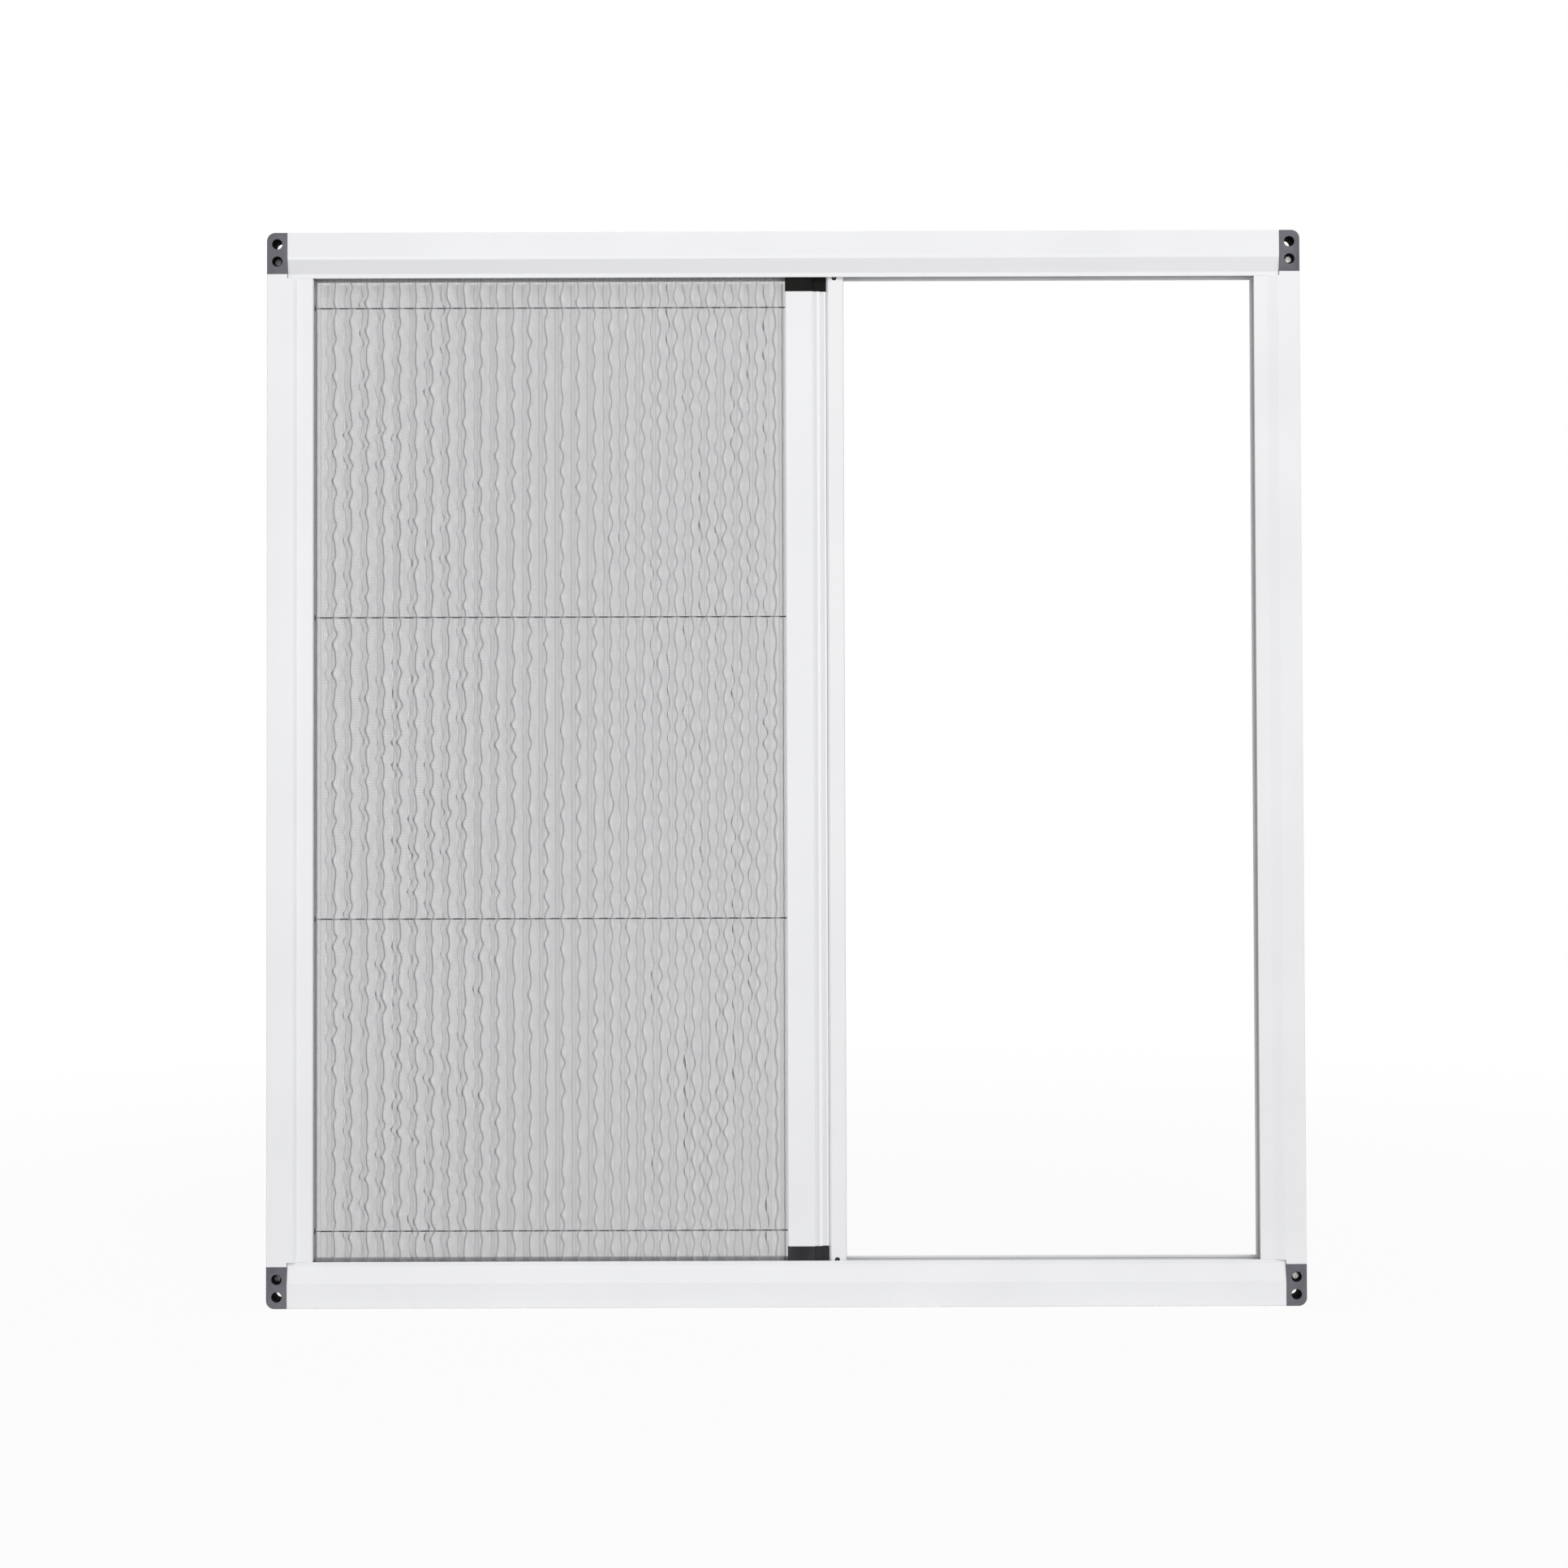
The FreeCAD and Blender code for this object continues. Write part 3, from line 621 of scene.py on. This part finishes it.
@dataclass
class PleatedNet:
    """The pleated net, one piece to a pleat."""

    left: float
    right: float
    half_height: float
    pleats: int = 29
    depth: float = 6.9 * MM
    cloth: float = 31.0 * MM
    wave_length: float = 22.0 * MM
    wave_height: float = 1.9 * MM
    wave_step: float = 0.55
    drift: float = 3.4
    wander: float = 1.8
    kink: float = 0.4
    kink_pace: float = 1.73
    kink_step: float = 2.1
    crumple: float = 0.8 * MM
    crush: float = 0.45 * MM
    newer_from: tuple[float, float] = (6.0, 24.0)
    calm_above: float = 384.0 * MM
    calm_over: float = 9.0 * MM
    hug: float = 2.0 * MM
    thickness: float = 0.25 * MM
    rows: int = 280
    columns: tuple[float, ...] = (0.0, 0.1, 0.19, 0.25, 0.31, 0.4, 0.5, 0.6, 0.69, 0.75, 0.81, 0.9, 1.0)
    edge_cuts: tuple[float, ...] = (0.0, 0.12, 0.25, 0.5)
    pieces: list[bpy.types.Object] = field(default_factory=list)

    @property
    def pitch(self) -> float:
        """The width of one pleat."""
        return (self.right - self.left) / self.pleats

    def spans(self) -> list[tuple[float, float]]:
        """The pieces' limits in pleats, with the first and last pleats cut finer."""
        last = self.pleats
        cuts = [*self.edge_cuts, *range(1, last), *[last - cut for cut in reversed(self.edge_cuts)]]
        return list(zip(cuts, cuts[1:]))

    def across(self, turn: float) -> float:
        """Where a place across the cloth lies. The first and last folds hug the jamb and the bar.

        Args:
            turn: the place, in pleats.

        Returns:
            The distance across.
        """
        hem = min(turn, self.pleats - turn, 1.0)
        side = math.copysign(1.0, turn - self.pleats / 2.0)
        return self.left + turn * self.pitch + side * self.hug * math.sin(math.pi * hem)

    def point(self, turn: float, height: float) -> Vector:
        """Where the cloth lies.

        Args:
            turn: the place across, in pleats.
            height: the place up.

        Returns:
            The point.
        """
        number = math.floor(turn + 0.25)
        part = turn % 1.0
        zigzag = abs(((part + 0.25) % 1.0) * 4.0 - 2.0) - 1.0
        edge = smoothstep(min(turn, self.pleats - turn), 0.0, 1.1)
        calm = 1.0 - 0.3 * smoothstep(abs(height), self.calm_above, self.calm_above + self.calm_over)
        fresh = smoothstep(turn, *self.newer_from)
        back = fresh * 2.0 - 1.0 if zigzag > 0.0 else 1.0
        uneven = max(0.4, 0.85 + 0.6 * noise.noise(Vector((number * 0.9, height / 0.05, 4.4))))
        reach = self.wave_height * edge * calm * uneven
        crush = self.crush * noise.noise(Vector((turn * 1.9, height / 0.012, 7.7)))
        crumple = self.crumple * noise.noise(Vector((turn * 3.1, height / 0.016, 1.3)))
        x = self.across(turn) - reach * self.sway(number, height, fresh) * zigzag**3 * back
        x += crumple * edge * math.sin(math.pi * part) ** 2
        y = self.depth * zigzag + crush * calm * (1.0 - abs(zigzag))
        return Vector((x, y, height))

    def sway(self, number: int, height: float, fresh: float) -> float:
        """How far a fold sways to the side: in kinks at the left and smoothly at the right.

        Args:
            number: the fold's number.
            height: the place up.
            fresh: 0 where the folds are kinked and 1 where they are smooth.

        Returns:
            The sway, as a share of the wave's height.
        """
        drift = self.drift * noise.noise(Vector((number * 0.37, height / 0.07, 2.5)))
        wander = self.wander * noise.noise(Vector((number * 1.7, height / 0.11, 9.1)))
        phase = math.tau * height / self.wave_length + drift + wander + number * self.wave_step
        smooth = math.sin(phase)
        kinked = math.asin(smooth) / (math.pi / 2.0)
        kinked += self.kink * math.sin(self.kink_pace * phase + self.kink_step * number)
        return kinked + (smooth - kinked) * fresh

    def make_piece(self, name: str, start: float, end: float, material: bpy.types.Material) -> None:
        """Makes the cloth between two places.

        Args:
            name: the piece's name.
            start: its left limit, in pleats.
            end: its right limit, in pleats.
            material: the net's finish.
        """
        steps = [step for step in self.columns if start < math.floor(start) + step < end]
        turns = [start, *[math.floor(start) + step for step in steps], end]
        bm = bmesh.new()
        bmesh.ops.create_grid(bm, x_segments=len(turns) - 1, y_segments=self.rows, size=1.0)
        layer = bm.loops.layers.uv.new("UVMap")
        places: dict[int, tuple[float, float]] = {}
        bm.verts.index_update()
        for vert in bm.verts:
            column = round((vert.co.x + 1.0) / 2.0 * (len(turns) - 1))
            height = vert.co.y * self.half_height
            places[vert.index] = (turns[column], height)
        for face in bm.faces:
            for loop in face.loops:
                turn, height = places[loop.vert.index]
                loop[layer].uv = (turn * self.cloth, height)
        for vert in bm.verts:
            vert.co = self.point(*places[vert.index])
        piece = finish_piece(name, bm, material)
        wall = piece.modifiers.new("cloth", "SOLIDIFY")
        wall.thickness = self.thickness
        wall.offset = 0.0
        first, second = unease(start / self.pleats), unease(end / self.pleats)
        low, high = self.across(start), self.across(end)
        reach = (high - low) / (second - first)
        origin = low - first * reach
        origin + reach
        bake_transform(piece)
        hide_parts("pleated_mesh")
        self.pieces.append(piece)

    def make(self, material: bpy.types.Material) -> None:
        """Args:
            material: the net's finish.
        """
        for number, (start, end) in enumerate(self.spans(), 1):
            self.make_piece(f"net_{number:02d}", start, end, material)
        LOG.info("net: %d pieces", len(self.pieces))


@dataclass
class TautCords:
    """The cords across the net and along the rails, drawn straight between their ends."""

    diameter: float = 1.0 * MM
    sides: int = 14

    def make_cord(self, name: str, node: str, finish: bpy.types.Material) -> None:
        """Makes one straight stretch.

        Args:
            name: the piece's name.
            node: the solid that it stands for.
            finish: the cord's finish.
        """
        corner_low, corner_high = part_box(node)
        low, high = corner_low.x, corner_high.x
        height = (corner_low.z + corner_high.z) / 2.0
        bm = bmesh.new()
        turned = Matrix.Translation((low, 0, height)) @ Matrix.Rotation(math.pi / 2.0, 4, "Y")
        bmesh.ops.create_circle(bm, segments=self.sides, radius=self.diameter / 2.0, matrix=turned)
        run = bmesh.ops.extrude_edge_only(bm, edges=bm.edges[:])
        moved = [item for item in run["geom"] if isinstance(item, bmesh.types.BMVert)]
        bmesh.ops.translate(bm, verts=moved, vec=(high - low, 0, 0))
        bmesh.ops.holes_fill(bm, edges=[edge for edge in bm.edges if edge.is_boundary])
        bmesh.ops.recalc_face_normals(bm, faces=bm.faces[:])
        layer = bm.loops.layers.uv.new("UVMap")
        for face in bm.faces:
            middle = face.calc_center_median()
            round_it = math.atan2(middle.z - height, middle.y) / math.tau
            for loop in face.loops:
                place = loop.vert.co
                share = math.atan2(place.z - height, place.y) / math.tau
                share += round(round_it - share)
                loop[layer].uv = (place.x, share)
        piece = finish_piece(name, bm, finish)
        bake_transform(piece)
        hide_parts(node)

    def make(self, finish: bpy.types.Material) -> None:
        """Makes all eight stretches.

        Args:
            finish: the cord's finish.
        """
        for number in range(1, 5):
            self.make_cord(f"cord_across_{number}", f"cord_span_{number}", finish)
            self.make_cord(f"cord_along_{number}", f"cord_return_{number}", finish)
        LOG.info("cords: 8 pieces")


@dataclass
class SoftenedPart:
    """A solid of the frame or the bar with its sharp edges broken, as on the real extrusion or moulding."""

    node: str
    body: Body
    slot: str
    width: float
    steps: int = 2
    round_sides: bool = False
    weld: float = 0.002 * MM
    flat: float = math.radians(0.6)
    corner: float = math.radians(32.0)

    def make(self, finish: bpy.types.Material) -> None:
        """Makes the piece from a merged copy of its solid.

        Args:
            finish: the piece's finish.
        """
        bm = bmesh.new()
        bm.from_mesh(frame["nodes"][self.node].data)
        bmesh.ops.remove_doubles(bm, verts=bm.verts[:], dist=self.weld)
        bmesh.ops.dissolve_limit(bm, angle_limit=self.flat, verts=bm.verts[:], edges=bm.edges[:])
        for layer in bm.loops.layers.uv[:]:
            bm.loops.layers.uv.remove(layer)
        piece = finish_piece(f"{self.node}_finished", bm, finish, smooth=self.round_sides)
        edge = piece.modifiers.new("edges", "BEVEL")
        edge.width = self.width
        edge.segments = self.steps
        edge.limit_method = "ANGLE"
        edge.angle_limit = self.corner
        edge.harden_normals = self.round_sides
        edge.use_clamp_overlap = True
        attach(piece, self.body.value)
        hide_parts(self.node)


@dataclass
class PanScrew:
    """A pan-head screw along the depth with a crossed recess."""

    node: str
    body: Body
    slot: str
    head: float
    height: float
    shank: float
    turn: float
    sides: int = 40

    def make(self, finish: bpy.types.Material) -> None:
        """Makes the screw in its hole.

        Args:
            finish: the screw's finish.
        """
        low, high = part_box(self.node)
        middle = (low + high) / 2.0
        seat = low.y + self.height
        rim, core = self.head / 2.0, self.shank / 2.0
        bm = bmesh.new()
        profile = [
            (0.0, low.y),
            (rim * 0.6, low.y),
            (rim * 0.9, low.y + self.height * 0.25),
            (rim, low.y + self.height * 0.6),
            (rim, seat),
            (core, seat),
            (core, high.y - core),
            (core * 0.3, high.y),
            (0.0, high.y),
        ]
        verts = [bm.verts.new((middle.x + across, depth, middle.z)) for across, depth in profile]
        edges = [bm.edges.new(pair) for pair in zip(verts, verts[1:])]
        bmesh.ops.spin(
            bm,
            geom=verts + edges,
            cent=(middle.x, 0, middle.z),
            axis=(0, 1, 0),
            angle=math.tau,
            steps=self.sides,
            use_merge=True,
        )
        bmesh.ops.remove_doubles(bm, verts=bm.verts[:], dist=0.01 * MM)
        bmesh.ops.recalc_face_normals(bm, faces=bm.faces[:])
        piece = finish_piece(f"{self.node}_head", bm, finish, smooth=False)
        self._carve(piece, Vector((middle.x, low.y, middle.z)))
        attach(piece, self.body.value)
        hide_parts(self.node)

    def _carve(self, piece: bpy.types.Object, top: Vector) -> None:
        """Cuts the crossed recess.

        Args:
            piece: the screw.
            top: the middle of its head.
        """
        bm = bmesh.new()
        arm, blade = self.head * 0.36, self.head * 0.075
        for angle in (self.turn, self.turn + math.pi / 2.0):
            size = Matrix.Diagonal((arm * 2.0, self.height * 1.1, blade * 2.0, 1.0))
            place = Matrix.Translation(top) @ Matrix.Rotation(angle, 4, "Y") @ size
            bmesh.ops.create_cube(bm, size=1.0, matrix=place)
        cutter = finish_piece("cutter", bm, piece.data.materials[0], smooth=False)
        cut = piece.modifiers.new("recess", "BOOLEAN")
        cut.object = cutter
        cut.solver = "EXACT"
        cut.use_self = True
        graph = bpy.context.evaluated_depsgraph_get()
        mesh = bpy.data.meshes.new_from_object(piece.evaluated_get(graph))
        piece.modifiers.clear()
        piece.data = mesh
        bpy.data.objects.remove(cutter)


# Studio


@dataclass(frozen=True)
class SoftLamp:
    """A soft square lamp that faces the part: its place, its side and its power in watts."""

    name: str
    place: Triple
    width: float
    power: float

    def make(self) -> None:
        """Hangs the lamp."""
        data = bpy.data.lights.new(self.name, "AREA")
        data.size = self.width
        data.energy = self.power
        lamp = bpy.data.objects.new(self.name, data)
        lamp.location = self.place
        lamp.rotation_euler = (-Vector(self.place)).to_track_quat("-Z", "Y").to_euler()
        bpy.context.scene.collection.objects.link(lamp)


@dataclass
class Studio:
    """A plain pale floor, a white surround, soft lamps and the camera."""

    floor_level: float = -441.2 * MM
    floor_size: float = 16.0
    floor_colour: Colour = (0.8, 0.8, 0.8)
    floor_glow: float = 0.93
    ambient: float = 0.33
    lamps: tuple[SoftLamp, ...] = (
        SoftLamp("key", (2.1, -8.8, 7.6), 5.2, 665.0),
        SoftLamp("fill", (-0.6, -5.7, -0.5), 2.6, 121.0),
    )
    camera_place: Triple = (-0.0005, -2.1526, 0.020)
    camera_shift: float = -0.0612
    camera_pitch: float = 1.2
    camera_roll: float = -0.18
    lens: float = 59.92
    sensor: float = 36.0
    floor_haze: tuple[float, float] = (0.5, 2.2)

    def make_floor(self) -> None:
        """Makes the floor, which keeps a light shadow of the part."""
        bm = bmesh.new()
        bmesh.ops.create_grid(bm, x_segments=1, y_segments=1, size=self.floor_size / 2.0)
        bmesh.ops.translate(bm, verts=bm.verts[:], vec=(0, 0, self.floor_level))
        material, shader, _ = start_material("pale_floor")
        output = material.node_tree.nodes["Material Output"]
        matt = shader.node("BsdfDiffuse", {}, {"Color": self.floor_colour})
        glow = shader.node("Emission", {}, {"Color": (1.0, 1.0, 1.0), "Strength": 1.0})
        far = shader.node("VectorMath", {"operation": "LENGTH"}, {0: shader.place()}, out="Value")
        seen = self._seen(shader) * far.ramp(*self.floor_haze, self.floor_glow, 1.0)
        shader.feed(output.inputs["Surface"], shader.node("MixShader", {}, {0: seen, 1: matt, 2: glow}))
        finish_piece("floor", bm, material, smooth=False)

    @staticmethod
    def _seen(shader: Shader) -> Signal:
        """1 where the camera sees a surface itself, in a gloss or through glass."""
        path = shader.node("LightPath", out="Is Camera Ray")
        outputs = path.socket.node.outputs
        gloss = Signal(shader, outputs["Is Glossy Ray"])
        through = Signal(shader, outputs["Is Transmission Ray"])
        return path.maximum(gloss).maximum(through)

    def make_world(self) -> None:
        """Makes the white surround and the plain light that it gives."""
        world = bpy.data.worlds.new("surround")
        bpy.context.scene.world = world
        world.use_nodes = True
        shader = Shader(world.node_tree)
        strength = self._seen(shader) * (1.0 - self.ambient) + self.ambient
        background = world.node_tree.nodes["Background"]
        shader.feed(background.inputs["Color"], (1.0, 1.0, 1.0))
        shader.feed(background.inputs["Strength"], strength)

    def make_camera(self) -> None:
        """Sets the camera at the photograph's angle."""
        data = bpy.data.cameras.new("camera")
        data.lens = self.lens
        data.sensor_width = self.sensor
        data.shift_y = self.camera_shift
        camera = bpy.data.objects.new("camera", data)
        camera.location = self.camera_place
        aim = Euler((math.radians(90.0 + self.camera_pitch), 0.0, 0.0)).to_matrix()
        roll = Matrix.Rotation(math.radians(self.camera_roll), 3, "Z")
        camera.rotation_euler = (aim @ roll).to_euler()
        bpy.context.scene.collection.objects.link(camera)
        bpy.context.scene.camera = camera

    def make(self) -> None:
        """Makes the whole studio."""
        self.make_floor()
        self.make_world()
        for lamp in self.lamps:
            lamp.make()
        self.make_camera()
        bpy.context.scene.view_settings.view_transform = "Standard"


@dataclass
class Screen:
    """The whole screen: which finish each node and piece has."""

    well_radius: float = 4.3 * MM
    hole_spacing: float = 14.3 * MM
    net_gap: float = 0.5 * MM
    finishes: dict[str, bpy.types.Material] = field(default_factory=dict)
    # Parts whose finish is a copy with painted light or shade: the top rail's painted shading, the bar's
    # painted shade and highlight bands, the bottom cap's painted light and the left screws' painted shade.
    kinds: dict[str, str] = field(
        default_factory=lambda: {
            "top_rail": "dusty_",
            "pull_bar": "grooved_",
            "bar_cap_bottom": "worn_",
            "corner_screw_top_left": "dull_",
            "corner_screw_bottom_left": "dull_",
        }
    )

    def mix_finishes(self) -> None:
        """Makes each finish once, under the name of its material slot."""
        screw_low, screw_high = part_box("corner_screw_top_right")
        inner = (screw_low + screw_high) / 2.0
        wells = tuple((inner.x, inner.z + up, self.well_radius) for up in (0.0, self.hole_spacing))
        grey = MouldedPlastic(
            "grey_moulded", (0.180, 0.180, 0.202), (0.112, 0.112, 0.129), gloss=0.12, wells=wells
        )
        # Painted shade at the step down from the face and in the groove, and painted highlights on the
        # ledge and on the nose's edge.
        bar_bands = (
            Band(Axis.ACROSS, 25.2 * MM, 26.6 * MM, PAINTED_SHADE_TINT, 1.4 * MM),
            Band(Axis.ACROSS, 28.4 * MM, 29.8 * MM, PAINTED_HIGHLIGHT_TINT, 0.6 * MM),
            Band(Axis.ACROSS, 31.2 * MM, 33.0 * MM, PAINTED_SHADE_TINT, 1.1 * MM),
            Band(Axis.ACROSS, 34.4 * MM, 36.0 * MM, PAINTED_HIGHLIGHT_TINT, 0.6 * MM),
        )
        # Painted shade on the top rail's downward slope, stronger at the left, and a painted highlight
        # along the crease above it.
        top_bands = (
            Band(Axis.UP, 407.6 * MM, 418.2 * MM, PAINTED_SHADE_TINT, 0.7 * MM, left=0.95, right=0.45),
            Band(Axis.UP, 419.2 * MM, 420.8 * MM, PAINTED_HIGHLIGHT_TINT, 0.5 * MM),
        )
        black = MouldedPlastic(
            "black_moulded", (0.010, 0.010, 0.009), (0.004, 0.004, 0.004), roughness=0.6, gloss=0.08
        )
        # Painted light: a lighter copy of the black plastic for the bottom cap, standing in for the light
        # from above that falls on it while the top cap is in shade.
        painted_light = MouldedPlastic(
            "worn_black_moulded", (0.050, 0.049, 0.055), (0.018, 0.018, 0.020), roughness=0.6, gloss=0.12
        )
        white = MouldedPlastic("white_extruded", (0.86, 0.86, 0.87), (0.80, 0.80, 0.81), roughness=0.46)
        zinc = PlatedSteel("zinc_plate", (0.60, 0.60, 0.59), (0.42, 0.42, 0.41), 0.4)
        # Painted shade: a darker copy of the zinc plate for the two left screws, whose heads sit in shade.
        painted_shade = PlatedSteel("painted_shade_plate", (0.20, 0.20, 0.205), (0.05, 0.05, 0.052), 0.5)
        dark_steel = PlatedSteel("black_steel", (0.055, 0.055, 0.058), (0.025, 0.025, 0.027), 0.42)
        self.finishes = {
            "white_aluminium": PowderCoat().make(),
            "grooved_white_aluminium": PowderCoat("powder_coat_bar", bands=bar_bands).make(),
            "dusty_white_aluminium": PowderCoat("powder_coat_top", bands=top_bands).make(),
            "white_plastic": white.make(),
            "grey_plastic": grey.make(),
            "black_plastic": black.make(),
            "worn_black_plastic": painted_light.make(),
            "screw_steel": zinc.make(),
            "dull_screw_steel": painted_shade.make(),
            "black_steel": dark_steel.make(),
            "magnet": MagnetRubber().make(),
            "mesh": WovenNet().make(),
            "cord": BraidedCord().make(),
        }

    def dress_nodes(self) -> None:
        """Gives every solid that stays in view the finish of its slot."""
        for entry in frame["record"]["subparts"]:
            solid = frame["nodes"][entry["node"]]
            solid.data.materials.clear()
            solid.data.materials.append(self.finishes[entry["material_slot"]])

    def screws(self) -> Iterable[PanScrew]:
        """The four screws of the corners and the two of the nose."""
        turns = {"top_left": 0.6, "top_right": 0.2, "bottom_left": 1.1, "bottom_right": 0.35}
        for name, turn in turns.items():
            yield PanScrew(
                f"corner_screw_{name}",
                Body.FRAME,
                "screw_steel",
                head=7.4 * MM,
                height=2.6 * MM,
                shank=4.0 * MM,
                turn=turn,
            )
        for end in Ends:
            yield PanScrew(
                f"nose_screw_{end.value}",
                Body.BAR,
                "black_steel",
                head=4.0 * MM,
                height=1.3 * MM,
                shank=2.2 * MM,
                turn=0.3,
                sides=28,
            )

    def softened(self) -> Iterable[SoftenedPart]:
        """The extrusions and mouldings whose edges show."""
        for node in ("top_rail", "bottom_rail", "left_jamb", "right_jamb"):
            yield SoftenedPart(node, Body.FRAME, "white_aluminium", width=0.35 * MM)
        for node in ("pull_bar", "bar_nose"):
            yield SoftenedPart(node, Body.BAR, "white_aluminium", width=0.3 * MM)
        for end in ("top_left", "top_right", "bottom_left", "bottom_right"):
            yield SoftenedPart(
                f"corner_{end}", Body.FRAME, "grey_plastic", width=0.55 * MM, steps=3, round_sides=True
            )
        for end in Ends:
            yield SoftenedPart(f"bar_cap_{end.value}", Body.BAR, "black_plastic", width=0.4 * MM)

    def make(self) -> None:
        """Makes everything."""
        self.mix_finishes()
        self.dress_nodes()
        low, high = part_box("pleated_mesh")
        PleatedNet(low.x, high.x, high.z - self.net_gap).make(self.finishes["mesh"])
        TautCords().make(self.finishes["cord"])
        for part in self.softened():
            part.make(self.finishes[self.kinds.get(part.node, "") + part.slot])
            LOG.info("softened: %s", part.node)
        for screw in self.screws():
            screw.make(self.finishes[self.kinds.get(screw.node, "") + screw.slot])
            LOG.info("screw: %s", screw.node)


def main() -> None:
    """Builds the studio and the screen."""
    logging.basicConfig(level=logging.INFO)
    Studio().make()
    Screen().make()


if __name__ == "__main__":
    main()
